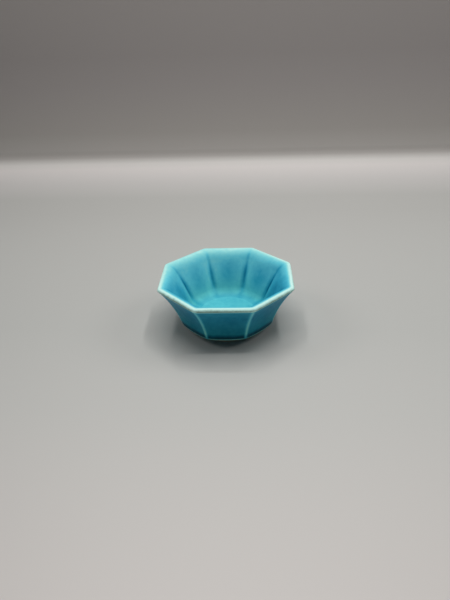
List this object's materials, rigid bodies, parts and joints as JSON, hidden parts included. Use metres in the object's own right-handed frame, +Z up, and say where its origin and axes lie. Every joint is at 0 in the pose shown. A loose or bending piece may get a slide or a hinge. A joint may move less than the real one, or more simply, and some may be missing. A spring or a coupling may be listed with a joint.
{
  "type": "small octagonal bowl",
  "caption": "Small flared octagonal bowl with creased inner corners, a round floor and a round foot ring, glazed turquoise inside and out.",
  "frame": {"origin": "middle of the foot ring's resting face, on the bowl's axis", "axes": "+Z up along the bowl's axis to its mouth; X and Y each square to two opposite sides of the octagon"},
  "size_m": [0.084, 0.084, 0.0347],
  "materials": {
    "clay": "fired pale clay, covered by the glaze",
    "foot_clay": "fired pale clay, bare and matt at the resting face",
    "glaze_inside": "glossy turquoise glaze, pale on the lip and dark in the creases",
    "glaze_outside": "glossy turquoise glaze, pale on the lip and on the outer corners",
    "glaze_well": "glossy turquoise glaze"
  },
  "bodies": {
    "root": {"clay_body": "clay", "foot_ring": "foot_clay", "inside_glaze": "glaze_inside", "outside_glaze": "glaze_outside", "foot_well_glaze": "glaze_well"}
  },
  "joints": []
}
